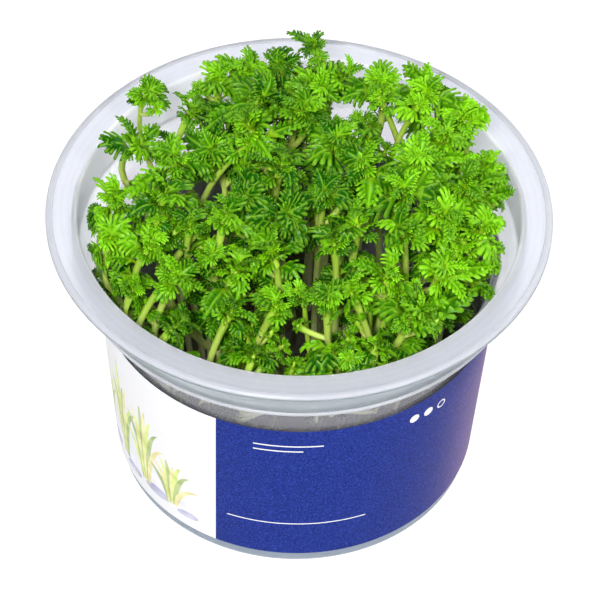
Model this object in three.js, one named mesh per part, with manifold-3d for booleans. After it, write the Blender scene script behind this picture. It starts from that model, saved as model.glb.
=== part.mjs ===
// American featherfoil grown in a tissue culture cup, in millimetres, +Z up.
// The origin is the middle of the cup's underside and -Y is the front, where the label's picture
// panel meets its dark panel.

import * as THREE from 'three';
import { mergeVertices } from 'three/addons/utils/BufferGeometryUtils.js';
import Module from 'manifold-3d';

const wasm = await Module();
wasm.setup();

// Driving dimensions of the cup
const CUP_HEIGHT = 68;
const FLANGE_RADIUS = 52.5;
const FLANGE_THICKNESS = 1.3;
const MOUTH_RADIUS = 45.9;
const COLLAR_RADIUS = 46.9;
const COLLAR_HEIGHT = 10.3;
const SHOULDER_RADIUS = 42.2;
const BASE_RADIUS = 38.4;
const WALL_THICKNESS = 1;
const FLOOR_THICKNESS = 1.3;
const HEEL_CHAMFER = 0.8;
const FLOOR_FILLET = 2;
const MOUTH_ROUNDING = 0.8;
const BEAD_ROUNDING = 0.3;
const AROUND = 48;

// Driving dimensions of what the cup holds and wears
const TOUCH_GAP = 0.3;
const LABEL_BOTTOM = 2.7;
const LABEL_TOP = 46.2;
const LABEL_THICKNESS = 0.3;
const GEL_TOP = 16;

// Driving dimensions of the plants
const STEM_RADIUS = 0.85;
const STEM_SIDES = 5;
const STEM_STEPS = 2;
const FOOT_SPREAD = 0.78;
const BEND_ACROSS = 0.25;
const BEND_UP = 0.55;
const LEAVES_PER_SHOOT = 6;
const LEAF_THICKNESS = 0.8;
const LEAF_WIDTH_RATIO = 0.42;
const GOLDEN_ANGLE = THREE.MathUtils.degToRad(137.5);

// How the leaves change from the lowest and outermost to the highest and innermost of a crown.
// Places are shares of the stem's length, lengths are shares of the crown's reach.
const CROWN_START = 0.937;
const CROWN_END = 0.992;
const OUTER_LEAF = { length: 1.25, lift: 25, fall: 40 };
const INNER_LEAF = { length: 0.8, lift: 75, fall: -15 };
const LENGTH_SPREAD = 0.15;
const SHORTER_TRIES = [1, 0.88, 0.76, 0.64, 0.52];

// The traits that differ from shoot to shoot
const BEARING_TRAIT = 1;
const LENGTH_TRAIT = 10;

// Colours and roughness of the materials
const CLOUDY_PLASTIC = { color: 0xdfe4ec, roughness: 0.35 };
const DARK_BLUE_PAPER = { color: 0x2f439c, roughness: 0.55 };
const CLOUDY_GEL = { color: 0xcfc9a8, roughness: 0.25 };
const LEAF_GREEN = { color: 0x57a31f, roughness: 0.5 };

// The growing tips, chosen by hand: [x, y, height over the rim, reach of the leaves]
const GROWING_TIPS = [
  // back row, left to right
  [-33, 25, 8, 7], [-23, 20, 8, 8], [-18, 28, 9, 8], [-12, 32, 9, 8], [-5, 33, 9, 7],
  [2, 34, 15, 7], [3, 26, 10, 9], [9, 31, 9, 8], [16, 27, 11, 8], [26, 25, 10, 9], [34, 20, 7, 9],
  // behind the middle
  [-34, 11, 6, 9], [-26, 4, 9, 9], [-18, 7, 10, 9], [-11, 11, 13, 10], [-9, 22, 10, 9], [0, 18, 11, 9],
  [7, 9, 11, 9], [14, 12, 10, 9], [30, 14, 8, 9], [24, 6, 9, 9], [39, 8, 5, 8], [34, 0, 7, 10],
  // the middle
  [-28, -6, 8, 10], [-38, -4, 5, 8], [-11, -6, 9, 9], [-4, 1, 11, 9], [-3, -11, 9, 9], [13, 3, 10, 9],
  [5, -5, 10, 9], [12, -12, 8, 9], [21, -3, 9, 9], [29, -8, 7, 9], [37, -9, 4, 9],
  // before the middle
  [-38, -14, 4, 9], [-30, -17, 5, 8], [-15, -14, 11, 9], [-22, -13, 7, 8], [-25, -23, 3, 9],
  [-5, -19, 6, 9], [-12, -22, 5, 9], [6, -16, 7, 9], [19, -13, 8, 10], [29, -20, 3, 9], [18, -22, 4, 9],
  // front row, left to right
  [-33, -24, 0, 7], [-24, -32, -2, 8], [-14, -30, 2, 8], [-5, -28, 3, 8], [4, -27, 3, 8],
  [11, -27, 2, 8], [-8, -36, -5, 7], [7, -36, -4, 9], [23, -29, 0, 9], [16, -34, -4, 7],
];

// Values that follow from the driving dimensions
const SHOULDER_HEIGHT = CUP_HEIGHT - FLANGE_THICKNESS - COLLAR_HEIGHT;
const WALL_DRAFT = (SHOULDER_RADIUS - BASE_RADIUS) / SHOULDER_HEIGHT;
const FOOT_HEIGHT = GEL_TOP + TOUCH_GAP;
const UP = new THREE.Vector3(0, 0, 1);

// Outer radius of the tapered wall at a height
function wallRadius(z) {
  return BASE_RADIUS + WALL_DRAFT * z;
}

// A repeatable number between 0 and 1 for one shoot and one of its traits
function vary(shoot, trait) {
  const wave = Math.sin(shoot * 12.9898 + trait * 78.233) * 43758.5453;
  return wave - Math.floor(wave);
}

// Turns [radius, height] points about the vertical axis
function turned(points) {
  const profile = points.map(([radius, height]) => new THREE.Vector2(radius, height));
  return new THREE.LatheGeometry(profile, AROUND).rotateX(Math.PI / 2);
}

function toSolid(geometry) {
  const bare = geometry.index ? geometry : mergeVertices(geometry);
  bare.deleteAttribute('normal');
  bare.deleteAttribute('uv');
  const merged = mergeVertices(bare, 1e-4);
  return new wasm.Manifold(new wasm.Mesh({
    numProp: 3,
    vertProperties: new Float32Array(merged.attributes.position.array),
    triVerts: new Uint32Array(merged.index.array),
  }));
}

function toGeometry(solid) {
  const mesh = solid.getMesh();
  const geometry = new THREE.BufferGeometry();
  geometry.setAttribute('position', new THREE.BufferAttribute(new Float32Array(mesh.vertProperties), 3));
  geometry.setIndex(new THREE.BufferAttribute(new Uint32Array(mesh.triVerts), 1));
  return geometry;
}

// The vessel: flat base, tapered wall, shoulder, wider collar and flange with a rounded lip
function cupGeometry() {
  const innerWall = (z) => wallRadius(z) - WALL_THICKNESS;
  const innerCollar = COLLAR_RADIUS - WALL_THICKNESS;
  const underFlange = CUP_HEIGHT - FLANGE_THICKNESS;
  const lip = FLANGE_THICKNESS / 2;
  return turned([
    [0, 0],
    [BASE_RADIUS - HEEL_CHAMFER, 0],
    [wallRadius(HEEL_CHAMFER), HEEL_CHAMFER],
    [wallRadius(SHOULDER_HEIGHT - WALL_THICKNESS), SHOULDER_HEIGHT - WALL_THICKNESS],
    [COLLAR_RADIUS - BEAD_ROUNDING, SHOULDER_HEIGHT - BEAD_ROUNDING],
    [COLLAR_RADIUS, SHOULDER_HEIGHT + BEAD_ROUNDING],
    [COLLAR_RADIUS, underFlange],
    [FLANGE_RADIUS - lip, underFlange],
    [FLANGE_RADIUS, underFlange + lip],
    [FLANGE_RADIUS - lip, CUP_HEIGHT],
    [MOUTH_RADIUS + MOUTH_ROUNDING, CUP_HEIGHT],
    [MOUTH_RADIUS, CUP_HEIGHT - MOUTH_ROUNDING],
    [innerCollar, SHOULDER_HEIGHT + WALL_THICKNESS],
    [innerWall(SHOULDER_HEIGHT), SHOULDER_HEIGHT + WALL_THICKNESS / 2],
    [innerWall(FLOOR_THICKNESS + FLOOR_FILLET), FLOOR_THICKNESS + FLOOR_FILLET],
    [innerWall(FLOOR_THICKNESS) - FLOOR_FILLET, FLOOR_THICKNESS],
    [0, FLOOR_THICKNESS],
  ]);
}

// The paper sleeve round the wall
function labelGeometry() {
  const inside = (z) => wallRadius(z) + TOUCH_GAP;
  const outside = (z) => inside(z) + LABEL_THICKNESS;
  return turned([
    [inside(LABEL_BOTTOM), LABEL_BOTTOM],
    [outside(LABEL_BOTTOM), LABEL_BOTTOM],
    [outside(LABEL_TOP), LABEL_TOP],
    [inside(LABEL_TOP), LABEL_TOP],
    [inside(LABEL_BOTTOM), LABEL_BOTTOM],
  ]);
}

// The set nutrient gel that the shoots stand on
function gelGeometry() {
  const bottom = FLOOR_THICKNESS + TOUCH_GAP;
  const edge = (z) => wallRadius(z) - WALL_THICKNESS - TOUCH_GAP;
  return turned([
    [0, bottom],
    [edge(bottom) - FLOOR_FILLET, bottom],
    [edge(bottom + FLOOR_FILLET), bottom + FLOOR_FILLET],
    [edge(GEL_TOP), GEL_TOP],
    [0, GEL_TOP],
  ]);
}

// The line that a stem follows from its foot on the gel to its growing tip
function stemCurve([x, y, overRim]) {
  const foot = new THREE.Vector3(x * FOOT_SPREAD, y * FOOT_SPREAD, FOOT_HEIGHT);
  const tip = new THREE.Vector3(x, y, CUP_HEIGHT + overRim);
  const bend = new THREE.Vector3().lerpVectors(foot, tip, BEND_ACROSS);
  bend.z = THREE.MathUtils.lerp(foot.z, tip.z, BEND_UP);
  return new THREE.QuadraticBezierCurve3(foot, bend, tip);
}

function stemSolid(curve) {
  const section = new THREE.Shape();
  for (let side = 0; side < STEM_SIDES; side += 1) {
    const angle = (side / STEM_SIDES) * 2 * Math.PI;
    const [across, along] = [STEM_RADIUS * Math.cos(angle), STEM_RADIUS * Math.sin(angle)];
    if (side === 0) section.moveTo(across, along);
    else section.lineTo(across, along);
  }
  section.closePath();
  return toSolid(new THREE.ExtrudeGeometry(section, { steps: STEM_STEPS, extrudePath: curve }));
}

// A leaf as a keeled blade that rises from the stem, arches over and droops to its tip
function leafSolid(leaf, scale, margin) {
  const out = new THREE.Vector3(Math.cos(leaf.bearing), Math.sin(leaf.bearing), 0);
  const side = new THREE.Vector3().crossVectors(UP, out);
  const half = (leaf.length * scale) / 2;
  const rising = out.clone().multiplyScalar(Math.cos(leaf.lift)).addScaledVector(UP, Math.sin(leaf.lift));
  const falling = out.clone().multiplyScalar(Math.cos(leaf.fall)).addScaledVector(UP, -Math.sin(leaf.fall));
  const halfWidth = (leaf.length * scale * LEAF_WIDTH_RATIO + margin) / 2;
  const middle = leaf.base.clone().addScaledVector(rising, half).addScaledVector(UP, margin / 2);
  const left = middle.clone().addScaledVector(side, halfWidth);
  const right = middle.clone().addScaledVector(side, -halfWidth);
  const tip = middle.clone().addScaledVector(falling, half + margin);
  const keel = middle.clone().addScaledVector(UP, -LEAF_THICKNESS - margin);
  const blade = new THREE.BufferGeometry().setFromPoints([leaf.base, left, right, tip, keel]);
  blade.setIndex([0, 2, 1, 3, 1, 2, 0, 1, 4, 0, 4, 2, 3, 4, 1, 3, 2, 4]);
  return toSolid(blade);
}

// Where the leaves of one shoot start, which way they point, how long they are and how they arch
function leavesOf(shoot, tipEntry, curve) {
  const { lerp, degToRad } = THREE.MathUtils;
  const reach = tipEntry[3];
  const firstBearing = vary(shoot, BEARING_TRAIT) * 2 * Math.PI;
  return Array.from({ length: LEAVES_PER_SHOOT }, (_, i) => {
    const inward = i / (LEAVES_PER_SHOOT - 1);
    const longer = LENGTH_SPREAD * vary(shoot, LENGTH_TRAIT + i);
    return {
      base: curve.getPoint(lerp(CROWN_START, CROWN_END, inward)),
      bearing: firstBearing + i * GOLDEN_ANGLE,
      length: reach * (lerp(OUTER_LEAF.length, INNER_LEAF.length, inward) + longer),
      lift: degToRad(lerp(OUTER_LEAF.lift, INNER_LEAF.lift, inward)),
      fall: degToRad(lerp(OUTER_LEAF.fall, INNER_LEAF.fall, inward)),
    };
  });
}

function boxesMeet(a, b) {
  const [p, q] = [a.boundingBox(), b.boundingBox()];
  return [0, 1, 2].every((axis) => p.min[axis] <= q.max[axis] && q.min[axis] <= p.max[axis]);
}

function clearOf(solid, others) {
  return others.every((other) => !boxesMeet(solid, other) || solid.intersect(other).isEmpty());
}

// Grows every shoot at once, leaf by leaf, each leaf as long as its neighbours leave room for
function shootSolids(cup) {
  const curves = GROWING_TIPS.map(stemCurve);
  const pieces = curves.map((curve) => [stemSolid(curve)]);
  const plans = GROWING_TIPS.map((entry, shoot) => leavesOf(shoot, entry, curves[shoot]));
  for (let i = 0; i < LEAVES_PER_SHOOT; i += 1) {
    plans.forEach((plan, shoot) => {
      const others = pieces.filter((_, other) => other !== shoot).flat().concat(cup);
      const scale = SHORTER_TRIES.find((tried) => clearOf(leafSolid(plan[i], tried, 2 * TOUCH_GAP), others));
      if (scale) pieces[shoot].push(leafSolid(plan[i], scale, 0));
    });
  }
  return pieces.map(([stem, ...leaves]) => leaves.reduce((grown, leaf) => grown.add(leaf), stem));
}

function addMesh(group, name, geometry, finish) {
  const mesh = new THREE.Mesh(geometry, new THREE.MeshStandardMaterial({ ...finish, metalness: 0 }));
  mesh.name = name;
  group.add(mesh);
}

const featherfoil = new THREE.Group();
const cup = cupGeometry();
addMesh(featherfoil, 'label', labelGeometry(), DARK_BLUE_PAPER);
addMesh(featherfoil, 'growing_gel', gelGeometry(), CLOUDY_GEL);
shootSolids(toSolid(cup.clone())).forEach((solid, shoot) => {
  const name = `shoot_${String(shoot + 1).padStart(2, '0')}`;
  addMesh(featherfoil, name, toGeometry(solid), LEAF_GREEN);
});
addMesh(featherfoil, 'cup', cup, CLOUDY_PLASTIC);

export default featherfoil;
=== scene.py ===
# Looks of the American featherfoil in its tissue culture cup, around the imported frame.
# The cup's axis is Z, its underside is at 0 and -Y is the front. Lengths are in millimetres, which
# add_piece and add_camera turn into metres, but those of materials, lamps and floor are in metres.

import math

import bpy
import numpy as np
from mathutils import Matrix, Vector
from mathutils.geometry import delaunay_2d_cdt


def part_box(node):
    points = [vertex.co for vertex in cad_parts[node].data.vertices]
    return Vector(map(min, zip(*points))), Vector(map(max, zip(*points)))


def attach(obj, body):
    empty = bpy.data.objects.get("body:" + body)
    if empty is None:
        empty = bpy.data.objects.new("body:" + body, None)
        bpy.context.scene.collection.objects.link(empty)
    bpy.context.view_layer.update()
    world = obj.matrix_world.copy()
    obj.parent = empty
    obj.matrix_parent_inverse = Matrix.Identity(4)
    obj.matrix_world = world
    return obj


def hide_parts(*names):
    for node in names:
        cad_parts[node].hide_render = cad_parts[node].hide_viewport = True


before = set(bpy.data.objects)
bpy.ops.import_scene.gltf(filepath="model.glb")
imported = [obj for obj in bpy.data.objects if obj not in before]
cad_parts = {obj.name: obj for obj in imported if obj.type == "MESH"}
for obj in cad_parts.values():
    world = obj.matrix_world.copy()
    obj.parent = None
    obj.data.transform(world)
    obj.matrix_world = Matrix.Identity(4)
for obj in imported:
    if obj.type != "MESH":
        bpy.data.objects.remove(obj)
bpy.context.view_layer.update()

MM = 0.001
SEED = 7


def solid_box(node):
    """Lowest and highest corner of a solid, in millimetres."""
    return [np.round(np.array(corner) / MM, 3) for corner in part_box(node)]


# The cup, as in the solids
CUP_HEIGHT = solid_box("cup")[1][2]
FLANGE_RADIUS = solid_box("cup")[1][0]
FLANGE_THICKNESS = 1.3
MOUTH_RADIUS = 45.9
COLLAR_RADIUS = 46.9
COLLAR_HEIGHT = 10.3
SHOULDER_RADIUS = 42.2
BASE_RADIUS = 38.4
WALL_THICKNESS = 1
FLOOR_THICKNESS = 1.3
FLOOR_FILLET = 2
SHOULDER_HEIGHT = CUP_HEIGHT - FLANGE_THICKNESS - COLLAR_HEIGHT
WALL_DRAFT = (SHOULDER_RADIUS - BASE_RADIUS) / SHOULDER_HEIGHT

# The cup's finer forms, which only the looks have
LIP_WIDTH = 1.3
LIP_STEP = 0.25
LIP_ROUNDING = 0.6
RIM_SHADE = 0.75
RIM_FOOT_ROUNDING = 0.3
HEEL_ROUNDING = 0.15
MOUTH_ROUNDING = 0.7
BEAD_STANDS_OUT = 0.34
BEAD_HEIGHT = 0.9
BEAD_ROUNDING = 0.4
BEND_ROUNDING = 1.1
SHOULDER_THICKNESS = 0.7
LONGEST_STRETCH = 4
AROUND = 144

# The label, its white panel, and its inks as a pale and a deep colour
LABEL_TRIM = 0.35
LABEL_BOTTOM = solid_box("label")[0][2] + LABEL_TRIM
LABEL_TOP = solid_box("label")[1][2] - LABEL_TRIM
LABEL_GAP = 0.3
LABEL_THICKNESS = 0.25
LABEL_STEP_DEG = 2.5
LAP_DEG = 7
LAP_GAP = 0.06
PANEL_RIGHT_TOP_DEG = -22.3
PANEL_RIGHT_BOTTOM_DEG = -24.3
PANEL_WIDTH_DEG = 84
WASHES = {
    "mist_ink": ((0.80, 0.80, 0.87), (0.62, 0.63, 0.76)),
    "violet_ink": ((0.50, 0.49, 0.62), (0.28, 0.27, 0.42)),
    "lime_ink": ((0.66, 0.74, 0.24), (0.44, 0.56, 0.10)),
    "olive_ink": ((0.42, 0.50, 0.20), (0.24, 0.34, 0.09)),
    "straw_ink": ((0.76, 0.70, 0.38), (0.56, 0.49, 0.20)),
    "paper_reverse": ((0.50, 0.51, 0.56), (0.38, 0.39, 0.44)),
    # The dark colour for the label's top edge is a painted shadow, the dark line of the gap between label and
    # wall.
    "painted_shadow_edge": ((0.06, 0.06, 0.08), (0.03, 0.03, 0.05)),
}
INKS = ("blue_print", "white_paper", *WASHES)
PAPER_SHEEN = {"Roughness": 0.5, "Coat Weight": 0.15, "Coat Roughness": 0.3}
BLADE_INKS = ("lime_ink", "olive_ink", "straw_ink")

# The print on the white panel, from its lower left corner and the cup's underside: pebbles by width and
# height, tufts by height and number of blades, and bubbles by radius
PEBBLES = [
    (4, 7.5, 11, 6), (13, 6.8, 9, 5), (22, 7.6, 12, 7),
    (33, 6.6, 9, 5), (42, 7.4, 11, 6.5), (51, 6.7, 8, 4.6),
]
TUFTS = [(9, 8.5, 15, 6), (20, 9, 24, 7), (30, 8, 31, 9), (39, 8, 25, 9), (47.5, 7.5, 16, 8)]
BUBBLES = [(18, 34, 1.5), (21.5, 38, 1.0), (8, 27, 1.2), (33, 40, 1.3), (47, 31, 1.1)]
BLADE_WIDTH = 1.4
BLADE_LEAN = 6.5

# The print on the blue, from the front: two discs and a ring, and rules by start, end, height, thickness
DOT = (25.5, 41.2)
DOT_STEP = (3.6, -0.35)
DOT_RADIUS = 1.15
RING_HOLE = 0.8
RULES = [(-8, 6, 40.6, 0.35), (-8, 2, 38.9, 0.35), (-14, 16, 13.6, 0.3)]

# The gel
GEL_TOP = solid_box("growing_gel")[1][2]
TOUCH_GAP = 0.3
GEL_HOLLOW = 0.55

# The plants, as in the solids
FOOT_HEIGHT = GEL_TOP + TOUCH_GAP
FOOT_SPREAD = 0.78
BEND_ACROSS = 0.25
BEND_UP = 0.55
LEAVES_PER_SHOOT = 6
GOLDEN_ANGLE = math.radians(137.5)
CROWN_START = 0.937
CROWN_END = 0.992
OUTER_LEAF = {"length": 1.25, "lift": 25, "fall": 40}
INNER_LEAF = {"length": 0.8, "lift": 75, "fall": -15}
LENGTH_SPREAD = 0.15
BEARING_TRAIT = 1
LENGTH_TRAIT = 10
KIND_TRAIT = 50

# The growing tips: x, y, height over the rim, reach of the leaves
GROWING_TIPS = [
    # back row, left to right
    (-33, 25, 8, 7), (-23, 20, 8, 8), (-18, 28, 9, 8), (-12, 32, 9, 8), (-5, 33, 9, 7),
    (2, 34, 15, 7), (3, 26, 10, 9), (9, 31, 9, 8), (16, 27, 11, 8), (26, 25, 10, 9), (34, 20, 7, 9),
    # behind the middle
    (-34, 11, 6, 9), (-26, 4, 9, 9), (-18, 7, 10, 9), (-11, 11, 13, 10), (-9, 22, 10, 9), (0, 18, 11, 9),
    (7, 9, 11, 9), (14, 12, 10, 9), (30, 14, 8, 9), (24, 6, 9, 9), (39, 8, 5, 8), (34, 0, 7, 10),
    # the middle
    (-28, -6, 8, 10), (-38, -4, 5, 8), (-11, -6, 9, 9), (-4, 1, 11, 9), (-3, -11, 9, 9), (13, 3, 10, 9),
    (5, -5, 10, 9), (12, -12, 8, 9), (21, -3, 9, 9), (29, -8, 7, 9), (37, -9, 4, 9),
    # before the middle
    (-38, -14, 4, 9), (-30, -17, 5, 8), (-15, -14, 11, 9), (-22, -13, 7, 8), (-25, -23, 3, 9),
    (-5, -19, 6, 9), (-12, -22, 5, 9), (6, -16, 7, 9), (19, -13, 8, 10), (29, -20, 3, 9), (18, -22, 4, 9),
    # front row, left to right
    (-33, -24, 0, 7), (-24, -32, -2, 8), (-14, -30, 2, 8), (-5, -28, 3, 8), (4, -27, 3, 8),
    (11, -27, 2, 8), (-8, -36, -5, 7), (7, -36, -4, 9), (23, -29, 0, 9), (16, -34, -4, 7),
]

# Kinds of leaf of length 1: pairs of lobes, their reach from the midrib, where the stalk ends and the
# last pair starts, how far up a lobe its notch is, the angles of the lowest and the highest lobe in
# degrees, and half the width of a lobe
LEAF_KEYS = ("lobes", "reach", "stalk", "last", "notch", "low", "high", "half_width")
LEAF_KINDS = {
    "fan": [
        (3, 0.50, 0.30, 0.62, 0.52, 52, 24, 0.050),
        (3, 0.54, 0.32, 0.64, 0.50, 54, 26, 0.046),
        (4, 0.46, 0.28, 0.68, 0.50, 56, 26, 0.038),
        (4, 0.44, 0.30, 0.66, 0.38, 58, 28, 0.036),
    ],
    "feather": [
        (5, 0.32, 0.22, 0.74, 0.50, 54, 30, 0.032),
        (6, 0.27, 0.20, 0.78, 0.54, 54, 32, 0.027),
    ],
    "curled": [
        (2, 0.56, 0.26, 0.52, 0.52, 46, 28, 0.064),
        (3, 0.50, 0.24, 0.58, 0.46, 54, 28, 0.050),
        (3, 0.46, 0.28, 0.62, 0.38, 56, 30, 0.046),
    ],
}
TIP_POINTS = 4
PLEAT_DEPTH = 0.036
VEIN_RELIEF = 0.8
MIDRIB_PLEAT = -0.4
FURROW_PLACE = 0.5
VEIN_PLACES = {"fan": (0.34, 0.64), "feather": (0.5,), "curled": (0.5,)}

# What differs from leaf to leaf, as ranges: twist, curl across, sway to the side, how late it arches
LEAF_TRAITS = {"twist": (-0.6, 0.6), "curl": (0.42, 1.1), "sway": (-0.16, 0.16), "late": (0.9, 1.7)}
LEAF_TONE_RANGE = (-0.32, 0.28)
ARCH_STEPS = 24
SOLID_LEAF_SCALE = 0.92
FEATHER_SHARE = 0.45
LONG_LEAF_SHARE = 0.45
LONG_LEAF_PLACE = 0.93
CROWN_SPREAD = (0.95, 1.22)
CROWN_SHARE = (0.6, 0.84)
CROWN_LEAVES = 13
HIDING_CROWN_SCALE = 0.6
LOWER_STRETCH = (0.68, 0.92)
FRONT_STRETCH = (0.45, 0.84)

# Pale stems that stand in the open, by the growing tip: the middle of the crown that each carries, and
# how far it leans to the right over how far it rises
LEANING_SHOOTS = {
    (4, -27): ((5.4, -29.5, 73), -1, 12.5),
    (11, -27): ((10.8, -28.4, 73), -4, 13),
    (-14, -30): ((-12.9, -32.6, 71), 4.4, 14.5),
    (-25, -23): ((-24.4, -24.3, 72), 4, 13),
    (-5, -28): ((-4, -30.9, 71), 3, 8),
    (6, -16): ((7.2, -17.6, 76), -0.7, 10),
    (19, -13): ((21, -14.8, 77), -1, 12.5),
}
SIDE_STEMS = {
    (-18, 7): ((-11, 6, 80), 9, 16),
    (-22, -13): ((-16.7, -11, 76), 5.5, 7),
    (26, 25): ((16, 21.3, 80), -5, 15),
    (24, 6): ((24.6, 20.3, 79), 4, 10),
    (-33, -24): ((-26.6, -25, 71), 5, 11),
}
OPEN_HALF_WIDTH = 0.8
OPEN_SHARE = 0.75
STEM_RADIUS_RANGE = (0.6, 0.8)

# Long leaves that stand out, by the growing tip that they leave: bearing, length, and the angles at
# which they start and end
LONG_LEAVES = {
    (23, -29): (38, 19, 12, -8),
    (29, -20): (20, 14, 25, -20),
    (14, 12): (160, 13, 20, -15),
    (34, 0): (-8, 12.5, 30, 0),
    (-9, 22): (195, 13, 25, -20),
    (-28, -6): (22, 12, 25, -10),
    (-30, -17): (65, 13, 30, -15),
}

# How the shoots grow in the looks: a stem sways and bows near its top, and its crown leans with it
BOW_START = 0.6
BOW_OUTWARDS = 4.16
BOW_SPREAD = 1.7
BOW_LIMIT = 4.5
SWAY_ACROSS = 3.5
SWAY_DEPTH = 2.5
FRONT_LEAN = 4.5
EXTRA_LEAN_DEG = 15

# Where shoots grow otherwise: y of the front row and of all in front, x and y of the thin growth at the
# back left, how far off the axis the wall is near, and smaller crowns by the growing tip
OPEN_FRONT = -26
OPEN_MIDDLE = -8
OPEN_LEFT = -20
OPEN_LEFT_FRONT = 4
BY_THE_WALL = 32
SMALL_CROWNS = {(2, 34): 0.62}

# How light a shoot is, from 0 to 1, and what is added at the sides, at the right and in front
MIDDLE_TONE = 0.36
SIDE_TONE = 0.42
RIGHT_TONE = 0.16
FRONT_TONE = -0.06
SHOOT_TONE_RANGE = (-0.25, 0.3)

# How leaves stay in the cup: off the wall, over the rim, or laid on the flange, and bent in further out
WALL_CLEARANCE = 0.45
RIM_CLEARANCE = 0.4
OVERHANG_RISE = 1.5
OVERHANG_WIDTH = 3
LAID_THICKNESS = 0.08
LEAVES_BEND_IN = 42.5
BEND_IN_BY = 3.2

# What stems bear, as ranges to draw from: where up the stem they leave it, slopes in degrees
SIDE_SHOOT = {
    "leaves": (0.72, 0.92), "slope": (25, 68), "length": (4, 9), "reach": (3.4, 5.6),
    "thickness": (0.48, 0.72),
}
FRONT_STEM = {
    "leaves": (0.2, 0.4), "right": (-9, 9), "back": (-1, 8), "up": (-9, -3), "reach": (3.6, 5.2),
    "thickness": (0.4, 0.65),
}
WALL_STEM = {"leaves": (0.4, 0.6), "turn": (-0.45, 0.45), "top": (50, 56), "thickness": (0.3, 0.6)}
ROOT_RANGES = {
    "leaves": (0.3, 0.7), "turn": (-1.5, 1.5), "drop": (6, 14), "out": (5, 10), "radius": (0.2, 0.36),
}

# The camera, fitted to the rings of the cup, and the lamps
CAMERA_TARGET = (0.6, 0, 40.2)
CAMERA_DISTANCE = 700
CAMERA_ELEVATION_DEG = 46.882
CAMERA_ROLL_DEG = 1.456
CAMERA_LENS = 197.15
SENSOR_WIDTH = 36
LAMP_TARGET = (0, 0, 0.06)
LAMPS = {
    "key": {"place": (-0.14, -0.56, 0.68), "size": 0.18, "power": 8.6},
    "fill": {"place": (0.36, -0.38, 0.62), "size": 0.3, "power": 3.0},
    "back": {"place": (0.3, 0.45, 0.5), "size": 0.3, "power": 1.2},
}
SURROUND_COLOR = (0.97, 0.98, 1, 1)
SURROUND_STRENGTH = 0.42
FLOOR_HALF_WIDTH = 3


def wall_radius(z):
    return BASE_RADIUS + WALL_DRAFT * z


def inner_radius(z):
    """Radius of the cup's inside at a height."""
    return np.where(z > SHOULDER_HEIGHT + WALL_THICKNESS / 2, MOUTH_RADIUS, wall_radius(z) - WALL_THICKNESS)


def vary(shoot, trait):
    """A repeatable number between 0 and 1 for one shoot and one of its traits, as in the solids."""
    wave = math.sin(shoot * 12.9898 + trait * 78.233) * 43758.5453
    return wave - math.floor(wave)


def lerp(start, end, share):
    return start + (end - start) * share


def unit(vectors):
    return vectors / np.linalg.norm(vectors, axis=-1, keepdims=True)


# Materials

MIX_FACTOR, MIX_FIRST, MIX_SECOND, MIX_RESULT = 0, 6, 7, 2


class Finish:
    """A material with one Principled shader, values set on its sockets, and nodes linked to them."""

    def __init__(self, name, sockets):
        self.material = bpy.data.materials.new(name)
        self.material.use_nodes = True
        self.tree = self.material.node_tree
        self.sockets = self.tree.nodes["Principled BSDF"].inputs
        for socket, value in sockets.items():
            self.sockets[socket].default_value = value

    def link(self, output, socket="Base Color"):
        self.tree.links.new(output, self.sockets[socket])

    def node(self, kind, inputs=(), **settings):
        """Adds a node. inputs gives, by name or place, a value or the output that is linked in."""
        node = self.tree.nodes.new(kind)
        for setting, value in settings.items():
            setattr(node, setting, value)
        for socket, value in dict(inputs).items():
            if isinstance(value, bpy.types.NodeSocket):
                self.tree.links.new(value, node.inputs[socket])
            else:
                node.inputs[socket].default_value = value
        return node

    def place(self):
        """Where a point is in the object's own space."""
        return self.node("ShaderNodeTexCoord").outputs["Object"]

    def noise(self, scale, detail=3, roughness=0.5):
        """Noise in the object's own space, with scale in features per metre."""
        inputs = {"Vector": self.place(), "Scale": scale, "Detail": detail, "Roughness": roughness}
        return self.node("ShaderNodeTexNoise", inputs).outputs["Fac"]

    def rings(self, scale):
        """Fine uneven rings about the cup's axis, as a mould's turning leaves."""
        inputs = {"Vector": self.place(), "Scale": scale, "Distortion": 3, "Detail": 3, "Detail Scale": 2}
        wave = self.node("ShaderNodeTexWave", inputs, wave_type="RINGS", rings_direction="Z")
        return wave.outputs["Fac"]

    def attribute(self, name):
        return self.node("ShaderNodeAttribute", attribute_name=name).outputs["Fac"]

    def ramp(self, factor, stops):
        """A colour ramp with stops of (place, colour)."""
        ramp = self.node("ShaderNodeValToRGB", {"Fac": factor})
        elements = ramp.color_ramp.elements
        while len(elements) < len(stops):
            elements.new(0.5)
        for element, (place, color) in zip(elements, stops):
            element.position = place
            element.color = (*color, 1)
        return ramp.outputs["Color"]

    def mix(self, factor, first, second):
        """Mixes two colours, each a value or an output."""
        first, second = (c if isinstance(c, bpy.types.NodeSocket) else (*c, 1) for c in (first, second))
        inputs = {MIX_FACTOR: factor, MIX_FIRST: first, MIX_SECOND: second}
        return self.node("ShaderNodeMix", inputs, data_type="RGBA").outputs[MIX_RESULT]

    def span(self, value, low, high):
        """Maps 0 to 1 onto low to high."""
        span = self.node("ShaderNodeMapRange", {"Value": value, "To Min": low, "To Max": high})
        return span.outputs["Result"]

    def roughen(self, scale, low, high):
        """Roughness that varies from place to place."""
        self.link(self.span(self.noise(scale), low, high), "Roughness")

    def bump(self, height, distance, strength=1.0):
        bump = self.node("ShaderNodeBump", {"Height": height, "Distance": distance, "Strength": strength})
        self.link(bump.outputs["Normal"], "Normal")


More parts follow.
